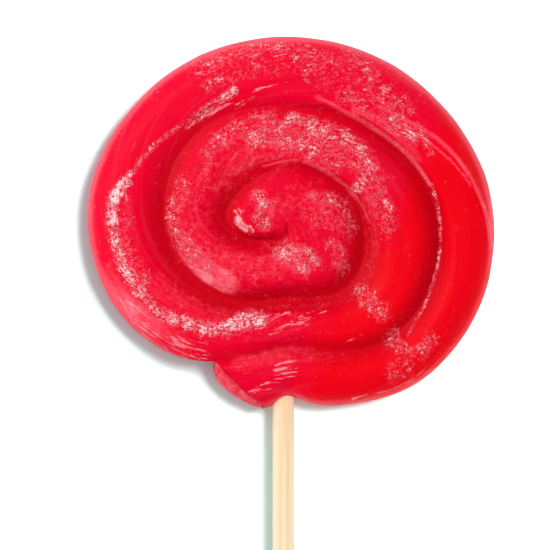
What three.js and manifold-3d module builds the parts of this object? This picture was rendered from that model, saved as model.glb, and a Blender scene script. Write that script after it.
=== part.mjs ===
// Swirl lollipop: one thick rope of boiled sugar, coiled on itself from a folded tip and pressed flat
// while it was warm, on a round wooden stick that was pushed into it from the edge.
//
// Millimetres, +Z up. The lollipop lies on its flat back with the swirl facing up. The origin is on the
// back, under the middle of the swirl, and the stick runs towards -Y.
//
// A place on the swirl is given by its winding and its share. The winding counts turns along the rope,
// clockwise as seen from above, and is 0 where the rope's tip ends on the left (-X). The share runs across
// the rope, from 0 at its inner edge to 1 at its outer edge. The outer edge of one turn is the inner edge
// of the next.
import * as THREE from "three";
import { mergeVertices } from "three/addons/utils/BufferGeometryUtils.js";
import Module from "manifold-3d";

// ---- Driving dimensions ---------------------------------------------------------------------------

// Distance from the middle of the swirl to the rope's outer edge, at each eighth of a turn. A row goes
// clockwise: left, upper left, top, upper right, right, lower right, bottom, lower left.
const FOLD_RADII = [0, 3.4, 5.2];
const TURN_RADII = [
  [11.6, 10.6, 10.8, 12.5, 15.6, 17.8, 15.2, 20.1],
  [24.0, 25.0, 23.0, 25.1, 30.5, 31.3, 25.2, 35.8],
  [39.6, 38.0, 37.2, 38.8, 42.0, 42.2, 37.4, 46.0],
];
const STATIONS_PER_TURN = 8;
const START_WINDING = -3 / STATIONS_PER_TURN; // where the rope's edge leaves the middle of the swirl
const END_WINDING = 2.825; // where the rope's cut end meets the turn inside it

const MIDDLE_HEIGHT = 10.3; // top of the rope in the middle of the swirl
const OUTER_HEIGHT = 11.0; // top of the rope in the outer turn
const RISE_RADIUS = 30; // where the rope has risen to its outer height

// The groove between turns. It follows the rope's outer edge, and the rows give its depth at the same places.
const FOLD_DEPTHS = [0, 1.5, 2.2];
const TURN_DEPTHS = [
  [2.4, 1.8, 1.4, 2.4, 2.9, 2.8, 2.8, 2.7],
  [2.3, 1.6, 1.3, 2.4, 2.7, 2.1, 1.5, 1.1],
];

// Its slopes are shares of the rope's width. On the upper right the rope leans over the turn inside it,
// and on the lower left it stands off.
const LEAN_DIRECTION = THREE.MathUtils.degToRad(50); // where the rope leans furthest
const LEAN_SHARPNESS = 1.5; // the higher, the shorter the stretch that leans
const INNER_SLOPES = [0.5, 0.14]; // slope at the rope's inner edge, where it stands off and where it leans
const OUTER_SLOPES = [0.34, 0.5]; // slope at its outer edge, likewise
const GROOVE_SOFTNESS = [0.6, 0]; // 0 gives the groove a crisp line at the bottom, and 1 a round bottom
const LEAST_OUTER_SLOPE = 3.2; // width of the slope at its outer edge in the fold, where the rope is narrow
const BACK_GROOVE_DEPTH = 1.1; // shallower, because the rope was pressed against the table
const BACK_GROOVE_FADE = [-0.05, 0.25];
const BACK_SLOPE = 0.26;

// The bare rim of the last turn.
const RIM_HEIGHT = 5.2; // its widest level, and the stick's axis
const RIM_REACH = 6.0; // how far in from the outline it rounds up to the top
const FOOT_REACH = 4.4; // how far in from the outline it rounds under to the flat back
const RIM_WALL = 1.2; // its outermost strip, which is nearly upright
const RIM_RUN = 0.08; // the stretch past the cut end, in turns, where it takes its round form

// The rope's cut end.
const END_RUN = 0.17; // the stretch of rope, in turns, over which its sections turn to meet the cut
const END_SKEW = 0.056; // how much earlier, in turns, the cut reaches the outer edge
const END_BOW = 2.4; // the higher, the further the cut bulges out between its two corners
const CUT_TOP_SETBACK = 3.4; // how far the slanting cut sets the top of the end back from the bulge
const CUT_FOOT_SETBACK = 1.2; // the same at the back
const CUT_DIRECTION = THREE.MathUtils.degToRad(47); // from the cut back into the rope
const CUT_SHARPNESS = 3; // above 1, the setback is kept near the end

// The dent in the rim where the stick enters.
const DENT_DEPTH = 2.1;
const DENT_WIDTH = 4.0;
const DENT_X = 1.1;
const DENT_WINDING = 2.5; // the outline is dented only beyond this winding

const STICK_RADIUS = 2.18;
const STICK_LENGTH = 150;
const STICK_CHAMFER = 0.35;
const STICK_X = -0.3;
const STICK_TOP_Y = -8; // the end that is buried in the candy
const SOCKET_GAP = 0.3;

// ---- Mesh steps -----------------------------------------------------------------------------------

const STEPS_PER_TURN = 80;
const STEPS_ACROSS = 8;
const STEPS_AROUND_RIM = 6;
const STICK_SIDES = 24;
const WELD = 1e-4; // points closer than this are one point

// ---- Small helpers --------------------------------------------------------------------------------

const { clamp, lerp, smoothstep } = THREE.MathUtils;

// A smooth curve through evenly spaced values, at a place counted in values.
function through(values, place) {
  const at = clamp(Math.floor(place), 0, values.length - 2);
  const value = (k) => values[clamp(at + k, 0, values.length - 1)];
  const [before, from, to, after] = [value(-1), value(0), value(1), value(2)];
  const t = clamp(place - at, 0, 1);
  const bend = 2 * before - 5 * from + 4 * to - after;
  const twist = -before + 3 * from - 3 * to + after;
  return (2 * from + (to - before) * t + bend * t ** 2 + twist * t ** 3) / 2;
}

// How deep a groove still is at a distance from its line, from 1 on the line to 0 where its slope ends.
function slope(distance, reach, softness = 0) {
  const rise = clamp(1 - distance / reach, 0, 1);
  return rise ** 2 * (1 + 2 * softness * (1 - rise));
}

// How far a round edge has come up at a distance in from its outermost point, from 0 to 1.
const rounding = (distance, reach) => Math.sqrt(1 - clamp(1 - distance / reach, 0, 1) ** 2);

// ---- The swirl ------------------------------------------------------------------------------------

const EDGE_RADII = [...FOLD_RADII, ...TURN_RADII.flat()];
const GROOVE_DEPTHS = [...FOLD_DEPTHS, ...TURN_DEPTHS.flat()];
const FREE_WINDING = END_WINDING - 1; // past this the rope's outer edge is the lollipop's outline
const STEPS = Math.round((END_WINDING - START_WINDING) * STEPS_PER_TURN);
const FREE_STEP = STEPS - STEPS_PER_TURN;
const INTO_ROPE = new THREE.Vector3(Math.cos(CUT_DIRECTION), Math.sin(CUT_DIRECTION), 0);

const directionAt = (winding) => Math.PI - winding * 2 * Math.PI;

// How far the rope leans over the turn inside it, from 0 to 1.
const leanAt = (winding) => Math.max(Math.cos(directionAt(winding) - LEAN_DIRECTION), 0) ** LEAN_SHARPNESS;

// A smooth curve through values for each eighth of a turn.
const along = (values, winding) => through(values, (winding - START_WINDING) * STATIONS_PER_TURN);

// How deep the groove is along the rope's outer edge.
const grooveDepth = (winding) => along(GROOVE_DEPTHS, winding);

// Distance from the middle of the swirl to the rope's outer edge.
function edgeRadius(winding) {
  const radius = along(EDGE_RADII, winding);
  if (winding < DENT_WINDING) return radius;
  const fromDent = radius * Math.cos(directionAt(winding)) - DENT_X;
  return radius - DENT_DEPTH * Math.exp(-((fromDent / DENT_WIDTH) ** 2));
}

// A section of the rope, with the radii of its edges at a share. Near the cut end the sections turn.
function section(step, share) {
  const winding = END_WINDING + (step - STEPS) / STEPS_PER_TURN;
  const endShare = smoothstep(winding, END_WINDING - END_RUN, END_WINDING);
  const turned = winding - END_SKEW * endShare * share ** END_BOW;
  const roundness = smoothstep(winding, FREE_WINDING, FREE_WINDING + RIM_RUN);
  const wall = RIM_WALL * roundness;
  const inner = edgeRadius(turned - 1);
  const edge = edgeRadius(turned);
  const radius = lerp(inner, edge - wall, share);
  return { winding, turned, endShare, roundness, wall, inner, edge, radius };
}

// Height of the top at a share of a section.
function topHeight({ winding, roundness, inner, edge, radius }, share) {
  const crest = lerp(MIDDLE_HEIGHT, OUTER_HEIGHT, smoothstep(radius, 0, RISE_RADIUS));
  const lean = leanAt(winding);
  const softness = lerp(...GROOVE_SOFTNESS, lean);
  const leastOuter = LEAST_OUTER_SLOPE / Math.max(edge - inner, LEAST_OUTER_SLOPE);
  const innerSlope = slope(share, lerp(...INNER_SLOPES, lean), softness);
  const outerSlope = slope(1 - share, Math.max(lerp(...OUTER_SLOPES, lean), leastOuter), softness);
  const sunk = crest - grooveDepth(winding - 1) * innerSlope;
  const groove = grooveDepth(winding) * outerSlope;
  if (roundness === 0) return sunk - groove;
  const round = (crest - RIM_HEIGHT) * (1 - rounding(edge - radius, Math.min(RIM_REACH, edge - inner)));
  return sunk - lerp(groove, round, roundness);
}

// Height of the back at a share of a section.
function backHeight({ winding, roundness, inner, edge, radius }, share) {
  const depth = (at) => BACK_GROOVE_DEPTH * smoothstep(at, ...BACK_GROOVE_FADE);
  const raised = depth(winding - 1) * slope(share, BACK_SLOPE);
  const groove = depth(winding) * slope(1 - share, BACK_SLOPE);
  if (roundness === 0) return raised + groove;
  const round = RIM_HEIGHT * (1 - rounding(edge - radius, Math.min(FOOT_REACH, edge - inner)));
  return raised + lerp(groove, round, roundness);
}

function polarPoint(winding, radius, height) {
  const direction = directionAt(winding);
  return new THREE.Vector3(radius * Math.cos(direction), radius * Math.sin(direction), height);
}

// Mesh lines lie closer together near the rope's edges, where it curves most.
const shareOf = (line) => (1 - Math.cos((Math.PI * line) / STEPS_ACROSS)) / 2;

// A point of the surface at a share of a section, from the top at down = 0 to the back at down = 1.
// In between lie the rim, which bulges outwards, and the cut end, whose top and foot are set back.
function surfacePoint(step, share, down) {
  const at = section(step, share);
  const bulge = at.wall * share * Math.sin(Math.PI * down);
  const height = lerp(topHeight(at, share), backHeight(at, share), down);
  const cut = at.endShare ** CUT_SHARPNESS * Math.sin(Math.PI * share);
  const setback = cut * (CUT_TOP_SETBACK * (1 - down) ** 2 + CUT_FOOT_SETBACK * down ** 2);
  return polarPoint(at.turned, at.radius + bulge, height).addScaledVector(INTO_ROPE, setback);
}

const topPoint = (step, line) => surfacePoint(step, shareOf(line), 0);
const backPoint = (step, line) => surfacePoint(step, shareOf(line), 1);
const rimPoint = (step, level) => surfacePoint(step, 1, level / STEPS_AROUND_RIM);
const cutPoint = (line, level) => surfacePoint(STEPS, shareOf(line), level / STEPS_AROUND_RIM);

// Two triangles for each cell of a grid of points, facing along columns x rows by the right-hand rule.
function gridTriangles(point, firstRow, lastRow, columns) {
  const triangles = [];
  for (let row = firstRow; row < lastRow; row++) {
    for (let column = 0; column < columns; column++) {
      const [a, b] = [point(row, column), point(row, column + 1)];
      const [d, c] = [point(row + 1, column), point(row + 1, column + 1)];
      triangles.push(a, b, c, a, c, d);
    }
  }
  return triangles;
}

const flipped = (triangles) => [...triangles].reverse();

function swirlGeometry() {
  return new THREE.BufferGeometry().setFromPoints([
    ...flipped(gridTriangles(topPoint, 0, STEPS, STEPS_ACROSS)),
    ...gridTriangles(backPoint, 0, STEPS, STEPS_ACROSS),
    ...flipped(gridTriangles(rimPoint, FREE_STEP, STEPS, STEPS_AROUND_RIM)),
    ...gridTriangles(cutPoint, 0, STEPS_ACROSS, STEPS_AROUND_RIM),
  ]);
}

// ---- The stick ------------------------------------------------------------------------------------

// A round bar from the origin towards -Y, with both ends chamfered.
function barGeometry(radius, length, chamfer) {
  const profile = [
    [0, 0],
    [radius - chamfer, 0],
    [radius, chamfer],
    [radius, length - chamfer],
    [radius - chamfer, length],
    [0, length],
  ];
  const points = profile.map(([x, y]) => new THREE.Vector2(x, y));
  return new THREE.LatheGeometry(points, STICK_SIDES).rotateX(Math.PI);
}

// ---- Solids ---------------------------------------------------------------------------------------

const wasm = await Module();
wasm.setup();

// A closed geometry as a solid, without the triangles that shrink to a line where points are one.
function solidOf(geometry) {
  const bare = geometry.clone();
  bare.deleteAttribute("normal");
  bare.deleteAttribute("uv");
  const merged = mergeVertices(bare, WELD);
  const triVerts = [];
  for (let i = 0; i < merged.index.count; i += 3) {
    const [a, b, c] = merged.index.array.slice(i, i + 3);
    if (a !== b && b !== c && c !== a) triVerts.push(a, b, c);
  }
  const vertProperties = merged.attributes.position.array;
  const mesh = new wasm.Mesh({ numProp: 3, vertProperties, triVerts: new Uint32Array(triVerts) });
  return new wasm.Manifold(mesh);
}

function geometryOf(solid) {
  const { vertProperties, triVerts } = solid.getMesh();
  const geometry = new THREE.BufferGeometry();
  geometry.setAttribute("position", new THREE.BufferAttribute(vertProperties, 3));
  geometry.setIndex(new THREE.BufferAttribute(triVerts, 1));
  geometry.computeVertexNormals();
  return geometry;
}

// ---- Pieces ---------------------------------------------------------------------------------------

// The coiled sugar, with a blind socket for the stick that is open at the rim.
function makeCandy() {
  const socket = barGeometry(STICK_RADIUS + SOCKET_GAP, STICK_LENGTH, SOCKET_GAP);
  socket.translate(STICK_X, STICK_TOP_Y + SOCKET_GAP, RIM_HEIGHT);
  const solid = solidOf(swirlGeometry()).subtract(solidOf(socket));
  const material = new THREE.MeshStandardMaterial({ color: "#e6002a", roughness: 0.25, metalness: 0 });
  const candy = new THREE.Mesh(geometryOf(solid), material);
  candy.name = "candy_swirl";
  return candy;
}

function makeStick() {
  const material = new THREE.MeshStandardMaterial({ color: "#fbdcb4", roughness: 0.7, metalness: 0 });
  const stick = new THREE.Mesh(barGeometry(STICK_RADIUS, STICK_LENGTH, STICK_CHAMFER), material);
  stick.name = "wooden_stick";
  stick.position.set(STICK_X, STICK_TOP_Y, RIM_HEIGHT);
  return stick;
}

const lollipop = new THREE.Group();
lollipop.add(makeCandy(), makeStick());

export default lollipop;
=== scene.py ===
import math
import bpy
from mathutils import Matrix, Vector


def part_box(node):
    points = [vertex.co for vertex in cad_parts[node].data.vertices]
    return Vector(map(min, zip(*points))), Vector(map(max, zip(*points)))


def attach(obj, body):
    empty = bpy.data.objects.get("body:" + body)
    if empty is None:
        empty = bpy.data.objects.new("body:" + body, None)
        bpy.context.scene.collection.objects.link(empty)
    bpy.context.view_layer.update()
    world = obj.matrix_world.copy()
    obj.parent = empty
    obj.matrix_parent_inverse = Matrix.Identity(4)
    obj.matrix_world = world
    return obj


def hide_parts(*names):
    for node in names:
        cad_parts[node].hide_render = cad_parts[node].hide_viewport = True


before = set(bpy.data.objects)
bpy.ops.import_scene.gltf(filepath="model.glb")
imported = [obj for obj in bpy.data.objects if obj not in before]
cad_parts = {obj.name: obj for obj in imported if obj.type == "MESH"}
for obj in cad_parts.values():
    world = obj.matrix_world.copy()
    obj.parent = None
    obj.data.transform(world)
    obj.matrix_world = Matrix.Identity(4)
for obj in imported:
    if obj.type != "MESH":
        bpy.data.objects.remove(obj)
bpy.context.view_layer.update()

# ---- The coiled sugar -----------------------------------------------------------------------------
# One thick rope of boiled sugar, pulled, coiled on itself from a folded tip while it was warm, and
# pressed flat on a table. Its surface keeps the streaks of the pulling, and its crests have gone white
# where they were rubbed and took up damp. Its sizes are millimetres, and only its material reads metres.
MM_PER_METRE = 1000

# A place on the swirl has a winding, which counts turns along the rope clockwise from the left, and a
# share, which runs across the rope from its inner edge to its outer edge. The rows give the distance
# from the middle to the rope's outer edge at each eighth of a turn, clockwise from the left.
FOLD_RADII = [0, 3.4, 5.2]
TURN_RADII = [
    [11.6, 10.6, 10.8, 12.5, 15.6, 17.8, 15.2, 20.1],
    [24.0, 25.0, 23.0, 25.1, 30.5, 31.3, 25.2, 35.8],
    [39.6, 38.0, 37.2, 38.8, 42.0, 42.2, 37.4, 46.0],
]
EDGE_RADII = FOLD_RADII + sum(TURN_RADII, [])

# The groove follows the rope's outer edge, and these rows give its depth at the same places.
FOLD_DEPTHS = [0, 1.5, 2.2]
TURN_DEPTHS = [
    [2.4, 1.8, 1.4, 2.4, 2.9, 2.8, 2.8, 2.7],
    [2.3, 1.6, 1.3, 2.4, 2.7, 2.1, 1.5, 1.1],
]
GROOVE_DEPTHS = FOLD_DEPTHS + sum(TURN_DEPTHS, [])
DEEPEST = 3.0  # at this depth the painted shade in the groove is darkest
STATIONS_PER_TURN = 8
START_WINDING = -3 / STATIONS_PER_TURN
END_WINDING = 2.825

# The crest rises a little from the middle out to this radius.
MIDDLE_HEIGHT = 10.25
OUTER_HEIGHT = 10.95
RISE_RADIUS = 30

# On one side the rope leans inwards. Each pair holds for the upright rope and for the leaning one: the
# share of its width that its inner and its outer slope take, and how round the bottom of the groove is.
LEAN_DIRECTION = math.radians(50)
LEAN_SHARPNESS = 1.5
INNER_SLOPES = (0.5, 0.14)
OUTER_SLOPES = (0.34, 0.5)
GROOVE_SOFTNESS = (0.6, 0.0)
LEAST_OUTER_SLOPE = 3.2  # no outer slope is narrower

# In the flat back the groove is shallow, and it fades out between these windings towards the middle.
BACK_GROOVE_DEPTH = 1.1
BACK_GROOVE_FADE = (-0.05, 0.25)
BACK_SLOPE = 0.26

# The free rim of the last turn is round above and below, and bulges out by its wall at mid-height.
RIM_HEIGHT = 5.2
RIM_REACH = 6.0
FOOT_REACH = 4.4
RIM_WALL = 1.2
RIM_RUN = 0.08  # it grows round over this part of a turn
RIM_BAND = (1.8, 0.54)  # the painted sheen band fades between these distances in from its edge

# The rope's end is cut askew, and the cut face slopes back to its top and a little to its foot.
END_RUN = 0.17  # the end is this part of a turn
END_SKEW = 0.056
END_BOW = 2.4
CUT_TOP_SETBACK = 3.4
CUT_FOOT_SETBACK = 1.2
CUT_DIRECTION = math.radians(47)
CUT_SHARPNESS = 3

# Over the stick the rim is dented inwards.
DENT_DEPTH = 2.1
DENT_WIDTH = 4.0
DENT_X = 1.1
DENT_WINDING = 2.5

# The press squeezes what would stand above the first height into the room above it.
PRESSED_FROM = 10.5
PRESSED_ROOM = 0.5

# The mesh is fine on the top, and four times as coarse on the back.
STEPS_PER_TURN = 720
STEPS_ACROSS = 36
STEPS_AROUND_RIM = 12
BACK_COARSENESS = 4
STEPS = round((END_WINDING - START_WINDING) * STEPS_PER_TURN)
FREE_STEP = STEPS - STEPS_PER_TURN
WELD = 0.0002  # points nearer together than this become one point
POLE_RADIUS = 0.05  # and so do all points nearer to the middle than this


def along(values, winding):
    """A smooth curve through values for each eighth of a turn."""
    place = max(winding - START_WINDING, 0) * STATIONS_PER_TURN
    at = min(int(place), len(values) - 2)
    before, start, end, after = (values[min(max(at + k, 0), len(values) - 1)] for k in (-1, 0, 1, 2))
    t = min(place - at, 1)
    bend = 2 * before - 5 * start + 4 * end - after
    twist = -before + 3 * start - 3 * end + after
    return (2 * start + (end - before) * t + bend * t**2 + twist * t**3) / 2


def bearing(winding):
    """The direction of a winding from the middle, as an angle from +X towards +Y."""
    return math.pi - winding * math.tau


def edge_radius(winding):
    """Distance from the middle of the swirl to the rope's outer edge."""
    radius = along(EDGE_RADII, winding)
    if winding < DENT_WINDING:
        return radius
    from_dent = radius * math.cos(bearing(winding)) - DENT_X
    return radius - DENT_DEPTH * math.exp(-((from_dent / DENT_WIDTH) ** 2))


def flat_place(winding, share):
    """The point of the swirl at a winding and a share, seen from above."""
    inner = edge_radius(winding - 1)
    radius = inner + (edge_radius(winding) - inner) * share
    direction = bearing(winding)
    return Vector((radius * math.cos(direction), radius * math.sin(direction), 0))


def line_object(name, lines):
    """A helper object of lines for a tree to read: their points, width, and weight at start and end."""
    points, edges, widths, weights = [], [], [], []
    for line, width, start_weight, end_weight in lines:
        first = len(points)
        points += line
        edges += [(k, k + 1) for k in range(first, len(points) - 1)]
        widths += [width] * len(line)
        change = (end_weight - start_weight) / (len(line) - 1)
        weights += [start_weight + change * k for k in range(len(line))]
    mesh = bpy.data.meshes.new(name)
    mesh.from_pydata(points, edges, [])
    mesh.attributes.new("width", "FLOAT", "POINT").data.foreach_set("value", widths)
    mesh.attributes.new("weight", "FLOAT", "POINT").data.foreach_set("value", weights)
    made = bpy.data.objects.new(name, mesh)
    bpy.context.scene.collection.objects.link(made)
    return made


STROKE_STEP = 0.005  # a mark has a point at every such part of a turn


def strokes(name, marks):
    """Marks drawn on the swirl: (winding, share) pairs, a half width, and a weight, or one at each end."""
    lines = []
    for stations, width, *weights in marks:
        line = []
        for (from_winding, from_share), (to_winding, to_share) in zip(stations, stations[1:]):
            count = max(2, round(abs(to_winding - from_winding) / STROKE_STEP))
            for k in range(count):
                t = k / count
                winding = from_winding + (to_winding - from_winding) * t
                line.append(flat_place(winding, from_share + (to_share - from_share) * t))
        line.append(flat_place(*stations[-1]))
        lines.append((line, width, weights[0], weights[-1]))
    return line_object(name, lines)


# Where the crests have gone white; two marks are painted highlights instead, on the tip of the fold and
# along a lip.
bloom_strokes = strokes("bloom_strokes", [
    ([(2.04, 0.54), (2.02, 0.66), (2.0, 0.66)], 1.4, 1.25),
    ([(2.0, 0.66), (1.98, 0.64), (1.95, 0.64), (1.92, 0.62), (1.90, 0.62)], 1.5, 1.15, 0.95),
    ([(2.04, 0.54), (2.06, 0.46), (2.10, 0.31), (2.13, 0.20)], 0.6, 1.0, 0.75),
    ([(2.13, 0.20), (2.15, 0.19), (2.17, 0.21), (2.19, 0.30)], 1.0, 0.9, 1.1),
    # Painted highlight: the white spot on the tip of the fold.
    ([(0.01, 0.80), (-0.03, 0.76)], 0.8, 1.5),
    ([(2.17, 0.82), (2.20, 0.81), (2.23, 0.80), (2.29, 0.72)], 2.4, 0.62),
    ([(2.17, 0.49), (2.20, 0.53), (2.26, 0.55)], 2.0, 0.5),
    ([(2.22, 0.88), (2.26, 0.82), (2.29, 0.72)], 1.8, 0.72),
    ([(2.31, 0.78), (2.33, 0.70), (2.34, 0.55), (2.36, 0.53), (2.38, 0.48)], 3.0, 0.6),
    ([(2.38, 0.31), (2.41, 0.30)], 1.3, 0.95),
    ([(2.40, 0.48), (2.43, 0.34)], 0.9, 0.8),
    ([(1.12, 0.70), (1.16, 0.72), (1.20, 0.80), (1.23, 0.84)], 1.9, 0.7),
    ([(1.20, 0.59), (1.23, 0.60), (1.27, 0.49)], 3.0, 0.75),
    ([(1.06, 0.80), (1.04, 0.73), (1.03, 0.83), (0.99, 0.86)], 1.6, 0.72),
    ([(1.09, 0.62), (1.07, 0.46)], 1.5, 0.5),
    ([(0.12, 0.69), (0.10, 0.44), (0.0, 0.40)], 1.9, 0.8),
    ([(1.26, 0.76), (1.30, 0.70), (1.33, 0.68), (1.36, 0.66), (1.39, 0.60)], 2.0, 0.85, 1.0),
    ([(1.39, 0.60), (1.41, 0.52), (1.42, 0.30), (1.43, 0.16)], 1.6, 0.95),
    ([(1.26, 0.5), (1.30, 0.46), (1.34, 0.42), (1.38, 0.46)], 4.2, 0.72),
    ([(1.38, 0.46), (1.43, 0.36), (1.47, 0.30), (1.50, 0.3)], 2.6, 0.7, 0.5),
    ([(2.24, 0.55), (2.28, 0.6), (2.32, 0.62)], 4.5, 0.5),
    ([(2.32, 0.3), (2.36, 0.24), (2.39, 0.2)], 2.2, 0.7, 0.6),
    ([(2.02, 0.52), (1.98, 0.5), (1.94, 0.48)], 1.8, 0.5, 0.66),
    ([(0.99, 0.80), (0.95, 0.76), (0.92, 0.72)], 2.2, 0.62),
    # Painted highlight: a thin white thread along the lip at the outer turn's inner edge.
    ([(2.34, 0.08), (2.38, 0.05), (2.42, 0.04), (2.46, 0.05)], 0.3, 0.7),
    ([(0.38, 0.51), (0.42, 0.69)], 1.3, 0.6),
    ([(0.42, 0.76), (0.45, 0.82), (0.49, 0.82)], 1.4, 0.8),
    ([(1.47, 0.38), (1.48, 0.40)], 0.9, 0.95),
    ([(1.90, 0.62), (1.89, 0.56), (1.86, 0.50), (1.85, 0.47), (1.83, 0.45)], 1.5, 1.1),
    ([(1.83, 0.45), (1.81, 0.28), (1.79, 0.35)], 1.9, 1.15),
    ([(0.75, 0.22), (0.69, 0.41), (0.67, 0.50)], 2.6, 0.85),
    ([(0.45, 0.37), (0.50, 0.58), (0.52, 0.77)], 2.2, 0.58),
    ([(0.57, 0.61), (0.61, 0.83)], 1.7, 0.66),
    ([(1.62, 0.20), (1.62, 0.41), (1.62, 0.64)], 2.1, 0.66),
    ([(2.63, 0.05), (2.63, 0.41)], 2.1, 0.76),
    ([(2.62, 0.53), (2.61, 0.54)], 1.7, 0.7),
    ([(2.65, 0.61), (2.63, 0.48)], 2.2, 0.66),
    ([(2.46, 0.08), (2.49, 0.03), (2.52, 0.01), (2.57, 0.02), (2.60, 0.08), (2.62, 0.16)], 0.35, 1.0, 0.6),
])

# Where it was scuffed along the streaks; one mark is a painted highlight instead, on the tip of the fold.
scuff_strokes = strokes("scuff_strokes", [
    ([(1.80, 0.2), (1.77, 0.1)], 0.8, 0.8),
    ([(1.78, 0.34), (1.74, 0.35)], 0.9, 1.0),
    ([(1.77, 0.59), (1.73, 0.47), (1.69, 0.30)], 1.3, 0.9),
    ([(1.74, 0.73), (1.69, 0.47)], 1.2, 0.6),
    ([(2.76, 0.34), (2.74, 0.22)], 1.2, 1.0),
    ([(2.78, 0.70), (2.77, 0.61), (2.74, 0.48)], 1.2, 0.9),
    ([(1.92, 0.88), (1.89, 0.88), (1.87, 0.86), (1.84, 0.84)], 2.4, 0.95),
    ([(2.18, 0.03), (2.20, 0.12), (2.22, 0.24), (2.25, 0.35)], 0.6, 0.9),
    ([(2.17, 0.82), (2.29, 0.75)], 3.0, 0.5),
    ([(2.69, 0.93), (2.66, 0.93), (2.63, 0.90)], 1.3, 0.85),
    ([(1.69, 0.87), (1.64, 0.84)], 0.9, 0.6),
    # Painted highlight: the white spot on the tip of the fold.
    ([(0.03, 0.80), (-0.01, 0.78), (-0.04, 0.72)], 1.2, 1.1),
    ([(2.12, 0.16), (2.15, 0.10), (2.18, 0.12)], 0.5, 1.0),
    ([(2.17, 0.17), (2.19, 0.10), (2.21, 0.14)], 0.5, 1.1),
])

# A painted sheen, pale pink, on the lips and facets that catch the light; the skin there is also duller and
# more frosted.
haze_strokes = strokes("haze_strokes", [
    ([(2.29, 0.16), (2.33, 0.06), (2.36, 0.04), (2.41, 0.05), (2.46, 0.05)], 0.5, 0.8, 1.1),
    ([(2.34, 0.14), (2.37, 0.17), (2.40, 0.17), (2.43, 0.12)], 1.2, 0.75, 0.6),
    ([(1.30, 0.10), (1.34, 0.06), (1.40, 0.04), (1.46, 0.03), (1.50, 0.06)], 0.5, 0.9),
    ([(1.46, 0.1), (1.54, 0.1), (1.60, 0.12)], 1.8, 0.5),
    ([(1.19, 0.10), (1.22, 0.09), (1.29, 0.12)], 0.3, 0.8),
    ([(1.10, 0.3), (1.2, 0.4), (1.28, 0.4)], 3.6, 0.48),
    ([(1.12, 0.28), (1.18, 0.2), (1.24, 0.18)], 1.4, 0.6),
    ([(0.975, 0.86), (0.95, 0.88), (0.93, 0.88), (0.90, 0.86)], 2.2, 0.5, 1.4),
    ([(0.98, 0.68), (0.94, 0.72), (0.91, 0.76), (0.88, 0.78)], 3.8, 0.3, 1.1),
    ([(1.98, 0.84), (1.95, 0.87), (1.93, 0.86), (1.915, 0.83)], 2.2, 0.2, 1.2),
    ([(1.915, 0.83), (1.89, 0.78), (1.87, 0.78), (1.84, 0.82)], 2.2, 1.1, 0.3),
    ([(2.36, 0.35), (2.39, 0.43), (2.42, 0.57), (2.46, 0.72), (2.49, 0.83), (2.52, 0.92)], 0.5, 0.8, 1.0),
    ([(2.52, 0.92), (2.55, 0.96), (2.58, 0.98)], 0.35, 1.0, 0.5),
    ([(2.40, 0.36), (2.43, 0.48), (2.47, 0.68)], 0.25, 0.9),
    ([(2.35, 0.95), (2.40, 0.92), (2.45, 0.9)], 3.2, 0.45, 0.2),
    ([(1.78, 0.1), (1.67, 0.12), (1.60, 0.15)], 1.2, 0.4),
    ([(2.80, 0.10), (2.76, 0.10), (2.72, 0.12)], 1.8, 0.6, 0.5),
    ([(2.72, 0.12), (2.69, 0.14), (2.66, 0.16)], 1.4, 0.5, 0.1),
    ([(0.92, 0.5), (0.85, 0.45), (0.72, 0.4)], 3.4, 0.55),
    ([(1.1, 0.45), (1.02, 0.5), (0.96, 0.5)], 3.6, 0.4),
    ([(0.45, 0.6), (0.3, 0.5), (0.15, 0.4)], 3.0, 0.4),
    ([(1.93, 0.36), (1.88, 0.28), (1.84, 0.25)], 2.4, 0.5),
])

# Folds in the skin: each steps down sharply towards the middle of the swirl.
fold_strokes = strokes("fold_strokes", [
    ([(2.39, 0.41), (2.42, 0.55), (2.46, 0.71), (2.49, 0.82), (2.52, 0.91)], 1.8, 0.5),
    ([(2.38, 0.32), (2.43, 0.48), (2.47, 0.68)], 1.0, 0.3),
    ([(1.96, 0.88), (1.93, 0.80), (1.91, 0.70), (1.89, 0.64), (1.87, 0.58)], 3.0, 0.5),
    ([(2.12, 0.2), (2.18, 0.24), (2.25, 0.38), (2.3, 0.5)], 2.0, 0.25),
    ([(1.12, 0.3), (1.2, 0.2), (1.3, 0.1)], 1.6, 0.2),
    ([(2.77, 0.7), (2.73, 0.5), (2.70, 0.25)], 2.0, 0.25),
])


class Field:
    """A value that a node tree works out, so that a formula reads as it does on paper."""

    def __init__(self, socket):
        self.socket = socket
        self.tree = socket.id_data

    def __add__(self, other):
        return calc("ADD", self, other)

    def __radd__(self, other):
        return calc("ADD", other, self)

    def __sub__(self, other):
        return calc("SUBTRACT", self, other)

    def __rsub__(self, other):
        return calc("SUBTRACT", other, self)

    def __mul__(self, other):
        return calc("MULTIPLY", self, other)

    def __rmul__(self, other):
        return calc("MULTIPLY", other, self)

    def __truediv__(self, other):
        return calc("DIVIDE", self, other)

    def __pow__(self, other):
        return calc("POWER", self, other)


def feed(made, feeds):
    """Feeds a node's inputs, by name or number, with fields or plain values."""
    for name, value in dict(feeds).items():
        if isinstance(value, Field):
            value.tree.links.new(value.socket, made.inputs[name])
        else:
            made.inputs[name].default_value = value


def place(tree, kind, feeds=(), **settings):
    """Adds a node to the tree, sets its options, feeds its inputs, and gives its outputs as fields."""
    made = tree.nodes.new(kind)
    for name, value in settings.items():
        setattr(made, name, value)
    feed(made, feeds)
    return [Field(socket) for socket in made.outputs if socket.enabled]


def calc(operation, *values):
    tree = next(value.tree for value in values if isinstance(value, Field))
    return place(tree, "ShaderNodeMath", enumerate(values), operation=operation)[0]


def clamped(value):
    return calc("MINIMUM", calc("MAXIMUM", value, 0.0), 1.0)


def mixed(start, end, share):
    return start + (end - start) * share


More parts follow.
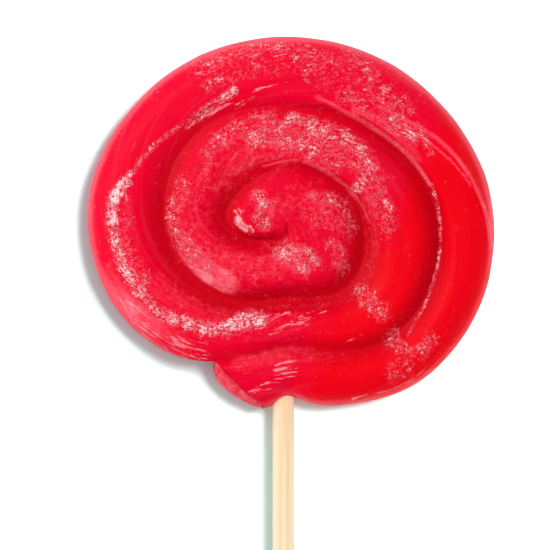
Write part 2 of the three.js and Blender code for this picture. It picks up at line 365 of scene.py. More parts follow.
def smoothly(value, low, high):
    """Goes smoothly from 0 where the value is low to 1 where it is high."""
    feeds = {0: value, 1: low, 2: high}
    return place(value.tree, "ShaderNodeMapRange", feeds, interpolation_type="SMOOTHSTEP")[0]


def vector(x, y, z):
    tree = next(value.tree for value in (x, y, z) if isinstance(value, Field))
    return place(tree, "ShaderNodeCombineXYZ", enumerate((x, y, z)))[0]


def parts(value):
    return place(value.tree, "ShaderNodeSeparateXYZ", {0: value})


def length(value):
    return place(value.tree, "ShaderNodeVectorMath", {0: value}, operation="LENGTH")[0]


def noise(where, scale=1.0, detail=2.0, roughness=0.5, distortion=0.0):
    feeds = {"Vector": where, "Scale": scale, "Detail": detail}
    feeds.update({"Roughness": roughness, "Distortion": distortion})
    return place(where.tree, "ShaderNodeTexNoise", feeds)[0]


def streaked(run, helix, long, wide, seed, detail, roughness):
    """Noise drawn out along the rope, in streaks about so many millimetres long and wide."""
    return noise(vector(run / long, helix / wide, seed), detail=detail, roughness=roughness)


def new_tree(name, kind, inputs, output):
    """A node tree with named inputs, each (name, socket kind, value), and its inputs as fields."""
    tree = bpy.data.node_groups.new(name, kind)
    for label, socket_kind, value in inputs:
        socket = tree.interface.new_socket(label, in_out="INPUT", socket_type=socket_kind)
        if value is not None:
            socket.default_value = value
    tree.interface.new_socket(output[0], in_out="OUTPUT", socket_type=output[1])
    given = {field.socket.name: field for field in place(tree, "NodeGroupInput")}
    return tree, given


def slope(distance, reach, softness=0.0):
    """How deep a groove still is at a distance from its line, from 1 to 0 where its slope ends.

    Softness 0 gives a crisp line at the bottom, and softness 1 a round bottom.
    """
    rise = calc("MAXIMUM", 1.0 - distance / reach, 0.0)
    return rise**2.0 * ((1.0 - rise) * softness * 2.0 + 1.0)


def rounding(distance, reach):
    """How far a round edge has come up at a distance in from its outermost point, from 0 to 1."""
    return calc("SQRT", 1.0 - clamped(1.0 - distance / reach) ** 2.0)


def stored(mesh, name, value, data_type="FLOAT", domain="POINT"):
    feeds = {"Geometry": mesh, "Name": name, "Value": value}
    return place(mesh.tree, "GeometryNodeStoreNamedAttribute", feeds, data_type=data_type, domain=domain)[0]


def recalled(tree, name):
    return place(tree, "GeometryNodeInputNamedAttribute", {"Name": name}, data_type="FLOAT")[0]


ROUND_UP = 0.01  # keeps a whole number from falling to the one below it


def patch(tree, rows, lines, surface, coarsen=1, flip=False):
    """A patch of mesh between rows along u and lines along v, both from 0 to 1, with each point's place."""
    feeds = {"Size X": 1.0, "Size Y": 1.0, "Vertices X": rows + 1, "Vertices Y": lines + 1}
    mesh, uv = place(tree, "GeometryNodeMeshGrid", feeds)
    u, v, _ = parts(uv)
    if coarsen > 1:  # the last line takes the coarser steps of the back that it joins
        coarse = calc("FLOOR", u * (rows / coarsen) + ROUND_UP) * (coarsen / rows)
        u = mixed(u, coarse, calc("GREATER_THAN", v, 1 - 0.5 / lines))
    for name, value in zip(("step", "share", "down"), surface(u, v)):
        mesh = stored(mesh, name, value + 0.0 * u)  # the sum makes a field of a plain value
    return place(tree, "GeometryNodeFlipFaces", {0: mesh})[0] if flip else mesh


EVEN_OUT = 0.3


def eased(line):
    """Lines lie closer together near the rope's edges, where it curves most."""
    return line - calc("SINE", line * math.tau) * (EVEN_OUT / math.tau)


def swirl_patches(tree):
    """The top, the back, the free rim and the cut end, each as a patch, with the cut end marked."""
    coarse = BACK_COARSENESS
    back_steps, back_lines = STEPS // coarse, STEPS_ACROSS // coarse

    def rim_surface(u, v):
        return u * STEPS_PER_TURN + FREE_STEP, 1.0, v

    top = patch(tree, STEPS, STEPS_ACROSS, lambda u, v: (u * STEPS, eased(v), 0.0))
    back = patch(tree, back_steps, back_lines, lambda u, v: (u * STEPS, eased(v), 1.0), flip=True)
    rim = patch(tree, STEPS_PER_TURN, STEPS_AROUND_RIM, rim_surface, coarse)
    cut = patch(tree, STEPS_ACROSS, STEPS_AROUND_RIM, lambda u, v: (STEPS, eased(u), v), coarse, flip=True)
    cut = stored(cut, "cut", 1.0)
    join = tree.nodes.new("GeometryNodeJoinGeometry")
    for mesh in (top, back, rim, cut):
        tree.links.new(mesh.socket, join.inputs[0])
    return Field(join.outputs[0])


def sampled(source, value, index):
    feeds = {"Geometry": source, "Value": value, "Index": index}
    return place(source.tree, "GeometryNodeSampleIndex", feeds, data_type="FLOAT", clamp=True)[0]


def swirl_position(tree, edge_line):
    """The swirl's surface at the step, share and down of each point, and the point's place on the skin."""
    step, share, down = (recalled(tree, name) for name in ("step", "share", "down"))
    line_x, line_y, groove_depth = parts(place(tree, "GeometryNodeInputPosition")[0])
    edge_length = calc("SQRT", line_x**2.0 + line_y**2.0)

    def at_line(value, place_on_line):
        """A value of the edge line between two of its points."""
        lower = calc("FLOOR", place_on_line)
        at_lower = sampled(edge_line, value, lower)
        at_upper = sampled(edge_line, value, lower + 1.0)
        return mixed(at_lower, at_upper, place_on_line - lower)

    # Seen from above, a point lies between the edge of the turn before and its own turn's edge.
    winding = (step - STEPS) / STEPS_PER_TURN + END_WINDING
    direction = bearing(winding)
    end_share = smoothly(winding, END_WINDING - END_RUN, END_WINDING)
    skew = end_share * share**END_BOW * END_SKEW
    turned_step = step - skew * STEPS_PER_TURN
    turned = direction + skew * math.tau
    roundness = smoothly(winding, END_WINDING - 1, END_WINDING - 1 + RIM_RUN)
    wall = roundness * RIM_WALL
    inner = at_line(edge_length, turned_step - STEPS_PER_TURN)
    edge = at_line(edge_length, turned_step)
    width = edge - inner
    radius = mixed(inner, edge - wall, share)

    # The top falls from its crest to the groove on either side, or round to the free rim.
    lean = calc("MAXIMUM", calc("COSINE", direction - LEAN_DIRECTION), 0.0) ** LEAN_SHARPNESS
    crest = mixed(MIDDLE_HEIGHT, OUTER_HEIGHT, smoothly(radius, 0.0, RISE_RADIUS))
    least_outer = calc("DIVIDE", LEAST_OUTER_SLOPE, calc("MAXIMUM", width, LEAST_OUTER_SLOPE))
    softness = mixed(*GROOVE_SOFTNESS, lean)
    inner_slope = slope(share, mixed(*INNER_SLOPES, lean), softness)
    outer_slope = slope(1.0 - share, calc("MAXIMUM", mixed(*OUTER_SLOPES, lean), least_outer), softness)
    sunk = crest - at_line(groove_depth, step - STEPS_PER_TURN) * inner_slope
    groove = at_line(groove_depth, step) * outer_slope
    top_round = (crest - RIM_HEIGHT) * (1.0 - rounding(edge - radius, calc("MINIMUM", width, RIM_REACH)))
    top = sunk - mixed(groove, top_round, roundness)

    # The back lies on the table but for its own groove and the round foot of the rim.
    raised = smoothly(winding - 1.0, *BACK_GROOVE_FADE) * slope(share, BACK_SLOPE) * BACK_GROOVE_DEPTH
    back_groove = smoothly(winding, *BACK_GROOVE_FADE) * slope(1.0 - share, BACK_SLOPE) * BACK_GROOVE_DEPTH
    foot_round = (1.0 - rounding(edge - radius, calc("MINIMUM", width, FOOT_REACH))) * RIM_HEIGHT
    back = raised + mixed(back_groove, foot_round, roundness)

    # The rim and the cut end go from the top down to the back, and the rim bulges on the way.
    height = mixed(top, back, down)
    bulged = radius + wall * share * calc("SINE", down * math.pi)
    cut = end_share**CUT_SHARPNESS * calc("SINE", share * math.pi)
    setback = cut * ((1.0 - down) ** 2.0 * CUT_TOP_SETBACK + down**2.0 * CUT_FOOT_SETBACK)
    x = calc("COSINE", turned) * bulged + setback * math.cos(CUT_DIRECTION)
    y = calc("SINE", turned) * bulged + setback * math.sin(CUT_DIRECTION)

    # A point's place on the skin: across the rope, in from the groove, how low, and how near the rim.
    across = mixed(share * width, width * (2.0 - share) + top, down)
    inside = calc("MINIMUM", share, 1.0 - share + roundness) * width
    low = (crest - sunk + groove * (1.0 - roundness)) / DEEPEST * (1.0 - down)
    rim = roundness * smoothly(edge - bulged, *RIM_BAND)
    off_pole = calc("GREATER_THAN", radius, POLE_RADIUS)
    height = mixed(mixed(MIDDLE_HEIGHT, 0.0, down), height, off_pole)
    return vector(x * off_pole, y * off_pole, height), across, inside, winding, low, rim


def nearest_stroke(drawn, where):
    """The nearest point of an object's strokes, its distance, and the stroke's half width and weight."""
    tree = where.tree
    *_, lines = place(tree, "GeometryNodeObjectInfo", {"Object": drawn})
    feeds = {0: lines, 2: where}
    nearest, distance, _ = place(tree, "GeometryNodeProximity", feeds, target_element="EDGES")
    index = place(tree, "GeometryNodeSampleNearest", {0: lines, 1: where}, domain="POINT")[0]
    width = sampled(lines, recalled(tree, "width"), index)
    weight = sampled(lines, recalled(tree, "weight"), index)
    return nearest, distance, width, weight


def finished(tree, mesh, material):
    """Ends a tree: turns its millimetres into metres, and gives the mesh its material."""
    metres = (1 / MM_PER_METRE,) * 3
    mesh = place(tree, "GeometryNodeTransform", {"Geometry": mesh, "Scale": metres})[0]
    mesh = place(tree, "GeometryNodeRealizeInstances", {"Geometry": mesh})[0]
    mesh = place(tree, "GeometryNodeSetMaterial", {"Geometry": mesh, "Material": material})[0]
    place(tree, "NodeGroupOutput", {0: mesh})


MEAN_RADIUS = 22.0  # the run along the rope is reckoned on a ring of this radius
MARKED_TO = 0.4  # a mark or a fold has faded out so far round from the top to the back
STROKE_FULL = 0.4  # a mark is whole within this part of its half width,
STROKE_END = 1.6  # and has faded out at this part
STEEP_SIDE = 0.22  # a fold's side towards the middle, as a part of its other side
EVEN_STREAK = 0.8  # noise of this strength leaves the surface where it is
WEAKER_STREAKS = 0.14  # noise that weakens the streaks in places, in features to a millimetre
SMOOTH_EDGE = 0.8  # the streaks begin so far in from the groove
SMOOTH_MIDDLE = (4.0, 16.0)  # and between these distances from the middle
EVEN_LUMP = (0.6, 1.0)  # as for the streaks, on the top and on the back
LUMP_SHIFT = 3.0  # keeps the lumps of the back from being those of the top


def swirl_tree():
    """The rope of sugar, in millimetres, on a line along its outer edge."""
    inputs = [
        ("Edge Line", "NodeSocketGeometry", None),
        ("Bloom Strokes", "NodeSocketObject", None),
        ("Scuff Strokes", "NodeSocketObject", None),
        ("Haze Strokes", "NodeSocketObject", None),
        ("Fold Strokes", "NodeSocketObject", None),
        ("Streak Depth", "NodeSocketFloat", 0.22),
        ("Streak Pitch", "NodeSocketFloat", 1.9),
        ("Streak Length", "NodeSocketFloat", 22.0),
        ("Streak Twist", "NodeSocketFloat", 0.21),
        ("Lump Depth", "NodeSocketFloat", 0.35),
        ("Lump Size", "NodeSocketFloat", 9.0),
        ("Bloom Depth", "NodeSocketFloat", 0.12),
        ("Bloom Grain", "NodeSocketFloat", 0.9),
        ("Pit Depth", "NodeSocketFloat", 0.35),
        ("Pit Size", "NodeSocketFloat", 0.8),
        ("Seed", "NodeSocketFloat", 7.0),
        ("Sugar", "NodeSocketMaterial", None),
    ]
    tree, given = new_tree("Sugar Swirl", "GeometryNodeTree", inputs, ("Swirl", "NodeSocketGeometry"))
    mesh = swirl_patches(tree)
    position, across, inside, winding, low, rim = swirl_position(tree, given["Edge Line"])

    # The streaks wind round the rope, so they cross it slowly on the way along it.
    run = winding * (math.tau * MEAN_RADIUS)
    streak_place = vector(run, across - run * given["Streak Twist"], given["Seed"])
    mesh = stored(mesh, "streak", streak_place, "FLOAT_VECTOR", "CORNER")
    for name, value in (("low", low), ("rim", rim), ("across", across), ("run", run), ("inside", inside)):
        mesh = stored(mesh, name, value)
    mesh = place(tree, "GeometryNodeSetPosition", {"Geometry": mesh, "Position": position})[0]
    mesh = place(tree, "GeometryNodeMergeByDistance", {"Geometry": mesh, "Distance": WELD})[0]
    mesh = place(tree, "GeometryNodeSetShadeSmooth", {"Geometry": mesh})[0]

    where = place(tree, "GeometryNodeInputPosition")[0]
    x, y, z = parts(where)
    flat = vector(x, y, 0.0)
    down = recalled(tree, "down")
    on_top = 1.0 - smoothly(down, 0.0, MARKED_TO)
    # Masks of the bloom, the scuffs and the painted sheen, each from its strokes.
    for kind in ("Bloom", "Scuff", "Haze"):
        _, distance, width, weight = nearest_stroke(given[kind + " Strokes"], flat)
        mask = weight * smoothly(distance, width * STROKE_END, width * STROKE_FULL) * on_top
        mesh = stored(mesh, kind.lower(), mask)

    # The folds lift the skin, steeply on their side towards the middle.
    nearest, distance, width, weight = nearest_stroke(given["Fold Strokes"], flat)
    outward = calc("GREATER_THAN", length(flat) - length(nearest), 0.0)
    reach = mixed(width * STEEP_SIDE, width, outward)
    fold = weight * on_top * slope(distance, reach)

    # The streaks of the pulling are left out along the groove, where the turns have set on each other.
    seed = given["Seed"]
    run = recalled(tree, "run")
    helix = recalled(tree, "across") - run * given["Streak Twist"]
    streak = streaked(run, helix, given["Streak Length"], given["Streak Pitch"], seed, 3.0, 0.6)
    strength = smoothly(noise(where, WEAKER_STREAKS, detail=1.0), 0.4, 0.65) * 0.8 + 0.2
    on_rope = smoothly(recalled(tree, "inside"), 0.0, SMOOTH_EDGE)
    on_rope = on_rope * smoothly(length(flat), *SMOOTH_MIDDLE)
    streaks = (streak - EVEN_STREAK) * strength * given["Streak Depth"] * on_rope

    # Lumps all over, grains where it has bloomed, and pits in the cut end.
    lump_size, grain_size, pit_size = given["Lump Size"], given["Bloom Grain"], given["Pit Size"]
    lump = noise(vector(x / lump_size, y / lump_size, seed + down * LUMP_SHIFT), detail=1.0)
    lumps = (lump - mixed(*EVEN_LUMP, down)) * given["Lump Depth"]
    grain = noise(vector(x / grain_size, y / grain_size, seed), roughness=0.6, distortion=0.6)
    grains = (smoothly(grain, 0.35, 0.65) - 1.0) * recalled(tree, "bloom") * given["Bloom Depth"]
    pit = noise(vector(x / pit_size, y / pit_size, z / pit_size), roughness=0.6)
    pits = (smoothly(pit, 0.3, 0.6) - 1.0) * recalled(tree, "cut") * given["Pit Depth"]
    feeds = {0: place(tree, "GeometryNodeInputNormal")[0], "Scale": streaks + lumps + grains + pits}
    relief = place(tree, "ShaderNodeVectorMath", feeds, operation="SCALE")[0]
    feeds = {0: relief, 1: vector(0.0, 0.0, fold)}
    offset = place(tree, "ShaderNodeVectorMath", feeds, operation="ADD")[0]
    mesh = place(tree, "GeometryNodeSetPosition", {"Geometry": mesh, "Offset": offset})[0]

    # The press flattens the highest crests, and the table lets nothing sink below it.
    x, y, z = parts(place(tree, "GeometryNodeInputPosition")[0])
    above = calc("MAXIMUM", z - PRESSED_FROM, 0.0) / PRESSED_ROOM
    pressed = calc("MINIMUM", z, PRESSED_FROM) + calc("TANH", above) * PRESSED_ROOM
    flattened = vector(x, y, calc("MAXIMUM", pressed, 0.0))
    mesh = place(tree, "GeometryNodeSetPosition", {"Geometry": mesh, "Position": flattened})[0]
    finished(tree, mesh, given["Sugar"])
    return tree


def new_material(name):
    """A material, its node tree and its surface shader."""
    made = bpy.data.materials.new(name)
    made.use_nodes = True
    return made, made.node_tree, made.node_tree.nodes["Principled BSDF"]


def object_place(tree):
    """Where a point lies on its own piece, in metres."""
    return place(tree, "ShaderNodeTexCoord")[3]


def tinted(tree, colour, other, share):
    """A colour turned towards another colour by a share."""
    made = tree.nodes.new("ShaderNodeMix")
    made.data_type = "RGBA"
    feed(made, {0: share, 6: colour, 7: other})
    return Field(made.outputs[2])


def attribute(tree, name, output):
    made = tree.nodes.new("ShaderNodeAttribute")
    made.attribute_name = name
    return Field(made.outputs[output])


def towards(direction, x, y):
    """How far a point lies towards a direction, which is an angle from +X towards +Y."""
    return x * math.cos(direction) + y * math.sin(direction)


DEEP_RED = (0.55, 0.0, 0.008, 1)
ROSE_RED = (0.81, 0.0, 0.026, 1)
CLEAR_RED = (0.84, 0.0, 0.008, 1)
FROST_AND_SHEEN_PINK = (0.96, 0.075, 0.125, 1)
BLOOM_AND_SHEEN_PINK = (0.95, 0.27, 0.33, 1)
BLOOM_WHITE = (0.98, 0.76, 0.76, 1)

# How fine the noises of the skin are, in features to a metre.
DRIFT_SCALE = 60.0
CLOUD_SCALE = 420.0
FINE_SCALE = 1100.0
BLOTCH_SCALE = 1250.0
THREAD_SCALE = 1500.0
GRAIN_SCALE = 1900.0
PIT_SCALE = 2100.0

# The streaks along the rope, by their length and width in millimetres, and a seed.
PULLED_STREAKS = (14.0, 0.8, 0.0)
BRUSHED_STREAKS = (5.0, 0.45, 5.0)
SWEPT_STREAKS = (26.0, 1.5, 9.0)
DRAWN_GRAINS = (1.8, 0.38, 1.0)
SCUFF_DASHES = (4.0, 0.8, 3.0)

# Where the wear and the painted rim sheen change, each between two distances in metres. Towards the unworn
# side the sugar turns clear, round the middle it is gritty, and the rim has a painted sheen but towards its
# lower right.
UNWORN_DIRECTION = math.radians(-25)
CLEAR_BETWEEN = (0.012, 0.024)
GRITTY_BETWEEN = (0.030, 0.022)
RIM_SHEEN_FADE_DIRECTION = math.radians(-45)
RIM_SHEEN_BETWEEN = (0.036, 0.030)
NOISE_MEAN = 0.5
THREAD_WIDTH = 0.05  # how far the crackling's noise may be from its mean in a thread


def sugar_material():
    """Red sugar, dull, bloomed and scuffed, with painted shade in its groove and round its cut end, and
    painted sheen on its lips, facets and rim, where the mesh's attributes say so.
    """
    made, tree, finish = new_material("red_sugar")
    where = object_place(tree)
    x, y, _ = parts(where)
    masks = (attribute(tree, name, "Fac") for name in ("bloom", "scuff", "haze", "cut", "low", "rim"))
    bloom, scuff, haze, cut, low, rim = masks
    run, helix, _ = parts(attribute(tree, "streak", "Vector"))
    streak = streaked(run, helix, *PULLED_STREAKS, detail=4.0, roughness=0.65)
    brushed = streaked(run, helix, *BRUSHED_STREAKS, detail=5.0, roughness=0.75)
    swept = streaked(run, helix, *SWEPT_STREAKS, detail=4.0, roughness=0.6)
    drift = noise(where, DRIFT_SCALE, detail=3.0)
    cloud = noise(where, CLOUD_SCALE, detail=6.0, roughness=0.78, distortion=0.4)
    fine = noise(where, FINE_SCALE, detail=4.0, roughness=0.75, distortion=0.5)

    # Clear on its unworn side, gritty on the inner turns, deep red in the streaks, and a painted shade of
    # deep red down in the groove.
    unworn = towards(UNWORN_DIRECTION, x, y)
    unworn = unworn + (drift - NOISE_MEAN) * 0.03 + (streak - NOISE_MEAN) * 0.01
    clear = smoothly(unworn, *CLEAR_BETWEEN)
    gritty = smoothly(length(where) + (drift - NOISE_MEAN) * 0.012, *GRITTY_BETWEEN) * (1.0 - clear)
    colour = tinted(tree, ROSE_RED, CLEAR_RED, clear)
    groove_shade_and_dark_tone = smoothly(low, 0.0, 0.75) * 0.9 + smoothly(streak, 0.48, 0.25) * 0.3
    groove_shade_and_dark_tone = groove_shade_and_dark_tone + smoothly(fine, 0.5, 0.32) * gritty * 0.6
    colour = tinted(tree, colour, DEEP_RED, clamped(groove_shade_and_dark_tone))

    # A fine pale frost on the inner turns, and a painted sheen, pale pink with a ragged, brushed edge and
    # pinker at its middle, where lips and facets catch the light.
    wear_and_sheen = gritty * (1.0 - low) * 0.5 + haze * 0.5 + bloom * 0.9
    frost = smoothly(fine + (cloud - NOISE_MEAN) * 1.2 + (wear_and_sheen - 1.0) * 0.2, 0.46, 0.66)
    ragged = haze + (brushed - NOISE_MEAN) * 1.3 + (fine - NOISE_MEAN) * 0.9
    raised = smoothly(low, 0.8, 0.6)
    sheen_patch = smoothly(ragged, 0.3, 1.1) * smoothly(haze, 0.0, 0.3) * raised
    pale = frost * 0.4 + sheen_patch * 0.8 + cut * smoothly(cloud, 0.45, 0.58) * 0.8
    pale = pale + smoothly(swept, 0.5, 0.75) * (1.0 - clear) * (1.0 - low) * 0.22
    # Painted sheen, pale pink, along the rim where the light grazes it, fading out towards its lower right.
    rim_sheen = smoothly(towards(RIM_SHEEN_FADE_DIRECTION, x, y), *RIM_SHEEN_BETWEEN)
    pale = pale + rim * (0.05 + drift * 0.6 + brushed * 0.3) * rim_sheen
    colour = tinted(tree, colour, FROST_AND_SHEEN_PINK, clamped(pale))
    colour = tinted(tree, colour, BLOOM_AND_SHEEN_PINK, smoothly(ragged, 0.9, 1.6) * raised)

    # Round the bloom the skin is blotched pink, where the damp has only begun to whiten it.
    blotched = noise(where, BLOTCH_SCALE, detail=3.0, roughness=0.65, distortion=0.8)
    blotched = blotched + (bloom - 1.0) * 0.06
    blotch = smoothly(blotched, 0.49, 0.57) * smoothly(bloom, 0.1, 0.6)
    colour = tinted(tree, colour, FROST_AND_SHEEN_PINK, blotch * 0.65)

    # The white bloom: crackled threads and grains, thick in the middle of a patch, with dark pits between.
    grain = noise(where, GRAIN_SCALE, roughness=0.65, distortion=1.0)
    drawn = streaked(run, helix, *DRAWN_GRAINS, detail=2.0, roughness=0.6)
    crackle = noise(where, THREAD_SCALE, distortion=1.0)
    thread = 1.0 - calc("ABSOLUTE", crackle - NOISE_MEAN) / THREAD_WIDTH
    patchy = noise(where, CLOUD_SCALE, detail=3.0, roughness=0.65, distortion=0.6)
    crust = calc("MAXIMUM", grain, drawn) - 0.54 + calc("MAXIMUM", thread, 0.0) * 0.2
    crust = crust + (patchy - NOISE_MEAN) * 0.7 + (bloom - 1.0) * 0.32
    speck = smoothly(crust, 0.0, 0.10)
    colour = tinted(tree, colour, BLOOM_AND_SHEEN_PINK, speck * 0.85)
    colour = tinted(tree, colour, BLOOM_WHITE, smoothly(crust, 0.12, 0.25) * 0.9)
    pit = smoothly(noise(where, PIT_SCALE, detail=1.0, distortion=0.8), 0.58, 0.66)
    pit = pit * smoothly(crust, -0.12, 0.0)
    colour = tinted(tree, colour, DEEP_RED, pit * 0.75)

    # Pale dashes where it was scuffed, and a painted shade, a deep red line, round the edge of the cut end.
    dashed = streaked(run, helix, *SCUFF_DASHES, detail=3.0, roughness=0.7)
    dash = smoothly(dashed + (scuff - 1.0) * 0.25, 0.50, 0.60)
    colour = tinted(tree, colour, BLOOM_AND_SHEEN_PINK, dash * 0.85)
    cut_edge_shade = smoothly(cut, 0.1, 0.4) * smoothly(cut, 0.9, 0.6)
    colour = tinted(tree, colour, DEEP_RED, cut_edge_shade * 0.9)
    feed(finish, {"Base Color": colour})

    # A soft gloss, duller on the bloom, over sugar that lets a little light in.
    rough = 0.36 + speck * 0.2 + haze * 0.1 + streak * 0.1
    feed(finish, {"Roughness": clamped(rough), "Specular IOR Level": 0.04})
    feed(finish, {"Subsurface Weight": 0.15, "Subsurface Scale": 0.001})
    feed(finish, {"Subsurface Radius": (1.0, 0.12, 0.1)})
    height = streak * 0.5 + brushed * 0.4 + (cloud + fine) * (gritty * 0.4 + 0.12)
    height = height + speck * 0.3 + dash * 0.2 - pit * 0.4
    bump = place(tree, "ShaderNodeBump", {"Strength": 0.8, "Distance": 0.00025, "Height": height})[0]
    feed(finish, {"Normal": bump})
    return made


def plain_piece(name, source):
    """The evaluated object as a plain mesh object of that name, in place of the source."""
    graph = bpy.context.evaluated_depsgraph_get()
    mesh = bpy.data.meshes.new_from_object(source.evaluated_get(graph), depsgraph=graph)
    mesh.name = name
    empty_slots = [index for index, material in enumerate(mesh.materials) if material is None]
    for index in reversed(empty_slots):
        mesh.materials.pop(index=index)
    made = bpy.data.objects.new(name, mesh)
    bpy.context.scene.collection.objects.link(made)
    bpy.data.objects.remove(source)
    return made


def set_inputs(source, tree, values):
    """Gives an object the tree as a modifier, with its inputs set by their identifiers."""
    modifier = source.modifiers.new(tree.name, "NODES")
    modifier.node_group = tree
    inputs = [item for item in tree.interface.items_tree if item.in_out == "INPUT"]
    identifiers = {item.name: item.identifier for item in inputs}
    for name, value in values.items():
        modifier[identifiers[name]] = value


# The line along the rope's outer edge carries the depth of the groove as its height.
edge_points = []
for step in range(STEPS + 1):
    winding = END_WINDING + (step - STEPS) / STEPS_PER_TURN
    radius, direction = edge_radius(winding), bearing(winding)
    depth = along(GROOVE_DEPTHS, winding)
    edge_points.append(Vector((radius * math.cos(direction), radius * math.sin(direction), depth)))
edge_line = line_object("edge_line", [(edge_points, 0, 0, 0)])
set_inputs(edge_line, swirl_tree(), {
    "Bloom Strokes": bloom_strokes,
    "Scuff Strokes": scuff_strokes,
    "Haze Strokes": haze_strokes,
    "Fold Strokes": fold_strokes,
    "Sugar": sugar_material(),
})
candy = plain_piece("sugar_swirl", edge_line)
for helper in (bloom_strokes, scuff_strokes, haze_strokes, fold_strokes):
    bpy.data.objects.remove(helper)
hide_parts("candy_swirl")
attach(candy, "root")

# ---- The stick ------------------------------------------------------------------------------------
# A birch dowel, turned from one piece and left bare, with the sharp arris taken off its ends. The candy
# was pressed round its upper end while it was still soft, and has set on it.
STICK_SIDES = 72
STICK_RINGS = 240


def dowel_tree():
    """A round rod along Y between two ends, furrowed along its grain."""
    inputs = [
        ("Radius", "NodeSocketFloat", 2.18),
        ("Start", "NodeSocketFloat", -158.0),
        ("Length", "NodeSocketFloat", 150.0),
        ("Centre X", "NodeSocketFloat", -0.3),
        ("Centre Z", "NodeSocketFloat", 5.2),
        ("Chamfer", "NodeSocketFloat", 0.35),
        ("Grain Depth", "NodeSocketFloat", 0.05),
        ("Grain Width", "NodeSocketFloat", 0.4),
        ("Grain Length", "NodeSocketFloat", 14.0),
        ("Seed", "NodeSocketFloat", 3.0),
        ("Wood", "NodeSocketMaterial", None),
    ]
    tree, given = new_tree("Birch Dowel", "GeometryNodeTree", inputs, ("Dowel", "NodeSocketGeometry"))
    feeds = {"Vertices": STICK_SIDES, "Side Segments": STICK_RINGS, "Radius": 1.0, "Depth": 1.0}
    mesh = place(tree, "GeometryNodeMeshCylinder", feeds)[0]
    x, y, z = parts(place(tree, "GeometryNodeInputPosition")[0])
    from_start = (z + 0.5) * given["Length"]
    from_end = calc("MINIMUM", from_start, given["Length"] - from_start)
    chamfered = 1.0 - calc("MINIMUM", from_end / given["Chamfer"], 1.0)
    furrow_x, furrow_y = (side * given["Radius"] / given["Grain Width"] for side in (x, y))
    furrow_place = vector(furrow_x, furrow_y, from_start / given["Grain Length"] + given["Seed"])
    furrow = (1.0 - noise(furrow_place, detail=3.0, roughness=0.6)) * given["Grain Depth"]
    radius = given["Radius"] - chamfered * given["Chamfer"] - furrow
    side_x, side_z = x * radius + given["Centre X"], y * radius + given["Centre Z"]
    shaped = vector(side_x, given["Start"] + from_start, side_z)
    mesh = place(tree, "GeometryNodeSetPosition", {"Geometry": mesh, "Position": shaped})[0]
    mesh = place(tree, "GeometryNodeFlipFaces", {0: mesh})[0]
    mesh = place(tree, "GeometryNodeSetShadeSmooth", {"Geometry": mesh})[0]
    finished(tree, mesh, given["Wood"])
    return tree


def grained(where, across, lengthwise, detail, roughness=0.5):
    """Noise drawn out along the stick."""
    x, y, z = parts(where)
    return noise(vector(x * across, y * lengthwise, z * across), detail=detail, roughness=roughness)


PALE_BIRCH = (0.99, 0.80, 0.54, 1)
WARM_BIRCH = (0.94, 0.66, 0.40, 1)
BIRCH_PORE = (0.80, 0.50, 0.26, 1)

# How fine the grain is, in features to a metre across the stick and along it.
BANDS = (700.0, 16.0)
FIBRES = (4200.0, 120.0)
PORES = (5200.0, 420.0)


def birch_material():
    """Pale bare birch, with warmer bands, fine fibres and short pores along its grain."""
    made, tree, finish = new_material("birch")
    where = object_place(tree)
    bands = grained(where, *BANDS, detail=3.0, roughness=0.55)
    fibres = grained(where, *FIBRES, detail=3.0, roughness=0.65)
    pores = grained(where, *PORES, detail=1.0)
    warmth = smoothly(bands * 0.75 + fibres * 0.25, 0.42, 0.66)
    colour = tinted(tree, PALE_BIRCH, WARM_BIRCH, warmth)
    colour = tinted(tree, colour, BIRCH_PORE, smoothly(pores, 0.70, 0.80) * 0.45)
    feed(finish, {"Base Color": colour, "Roughness": 0.55 + fibres * 0.2, "Specular IOR Level": 0.25})
    height = fibres * 0.7 + bands * 0.3
    bump = place(tree, "ShaderNodeBump", {"Strength": 0.4, "Distance": 0.00006, "Height": height})[0]
    feed(finish, {"Normal": bump})
    return made


stick_low, stick_high = (corner * MM_PER_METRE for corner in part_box("wooden_stick"))
rod = line_object("rod", [([stick_low, stick_high], 0, 0, 0)])
set_inputs(rod, dowel_tree(), {
    "Radius": (stick_high.x - stick_low.x) / 2,
    "Start": stick_low.y,
    "Length": stick_high.y - stick_low.y,
    "Centre X": (stick_low.x + stick_high.x) / 2,
    "Centre Z": (stick_low.z + stick_high.z) / 2,
    "Wood": birch_material(),
})
stick = plain_piece("birch_stick", rod)
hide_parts("wooden_stick")
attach(stick, "root")

# ---- Floor, light and camera ----------------------------------------------------------------------
# A plain white table under soft lights. The candy, the stick and the table have lights of their own.
TABLE_REACH = 3.0  # from its middle to its edges
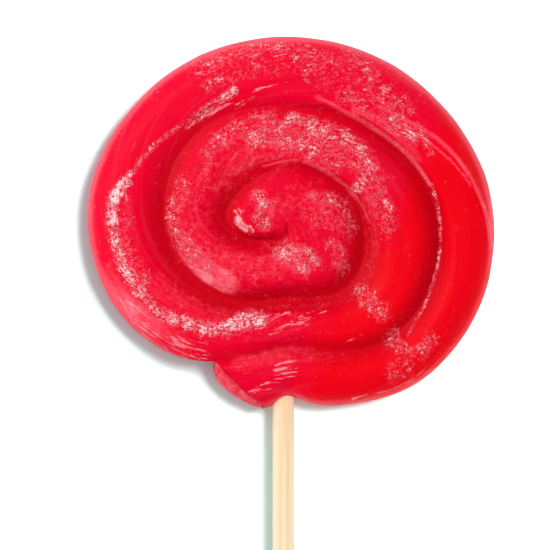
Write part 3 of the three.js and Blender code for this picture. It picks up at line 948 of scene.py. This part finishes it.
# The white is tinted cool, so that the red light which the candy throws onto the table leaves its shadow
# grey.
TABLE_WHITE = (0.75, 0.93, 0.93, 1)
table_corners = [(x * TABLE_REACH, y * TABLE_REACH, 0) for x, y in ((-1, -1), (1, -1), (1, 1), (-1, 1))]
floor_mesh = bpy.data.meshes.new("floor")
floor_mesh.from_pydata(table_corners, [], [(0, 1, 2, 3)])
floor = bpy.data.objects.new("floor", floor_mesh)
bpy.context.scene.collection.objects.link(floor)
white, _, finish = new_material("white_table")
feed(finish, {"Base Color": TABLE_WHITE, "Roughness": 0.9, "Specular IOR Level": 0.1})
floor_mesh.materials.append(white)


LIT_CENTRE = Vector((0, 0, 0.008))


def softbox(name, azimuth, elevation, distance, size, watts):
    """A square light that faces the candy's middle. Its azimuth is an angle from +X towards +Y."""
    light = bpy.data.lights.new(name, "AREA")
    light.energy = watts
    light.size = size
    made = bpy.data.objects.new(name, light)
    bpy.context.scene.collection.objects.link(made)
    a, e = math.radians(azimuth), math.radians(elevation)
    away = Vector((math.cos(a) * math.cos(e), math.sin(a) * math.cos(e), math.sin(e)))
    made.location = LIT_CENTRE + away * distance
    made.rotation_euler = away.to_track_quat("Z", "Y").to_euler()
    return made


key = softbox("key", azimuth=150, elevation=50, distance=0.8, size=0.35, watts=6.3)
rim_light = softbox("rim_light", azimuth=-30, elevation=10, distance=0.8, size=0.8, watts=4.5)
rim_light.visible_glossy = False
stick_light = softbox("stick_light", azimuth=150, elevation=82, distance=0.6, size=1.2, watts=6.2)
table_light = softbox("table_light", azimuth=30, elevation=64, distance=0.9, size=0.3, watts=13.5)
table_fill = softbox("table_fill", azimuth=0, elevation=90, distance=0.9, size=1.2, watts=3.6)
lit = {key: candy, rim_light: candy, stick_light: stick, table_light: floor, table_fill: floor}
for light, thing in lit.items():
    group = bpy.data.collections.new("lit_by_" + light.name)
    group.objects.link(thing)
    light.light_linking.receiver_collection = group

world = bpy.data.worlds.new("studio")
bpy.context.scene.world = world
world.use_nodes = True
feed(world.node_tree.nodes["Background"], {"Color": (1, 1, 1, 1), "Strength": 0.3})

# The camera looks straight down.
VIEW_CENTRE = Vector((-0.002, -0.0106, 0.0055))
VIEW_WIDTH = 0.110
VIEW_DISTANCE = 0.75
camera_data = bpy.data.cameras.new("camera")
camera_data.lens = camera_data.sensor_width * VIEW_DISTANCE / VIEW_WIDTH
camera = bpy.data.objects.new("camera", camera_data)
bpy.context.scene.collection.objects.link(camera)
camera.location = VIEW_CENTRE + Vector((0, 0, VIEW_DISTANCE))
bpy.context.scene.camera = camera
bpy.context.scene.view_settings.view_transform = "Standard"
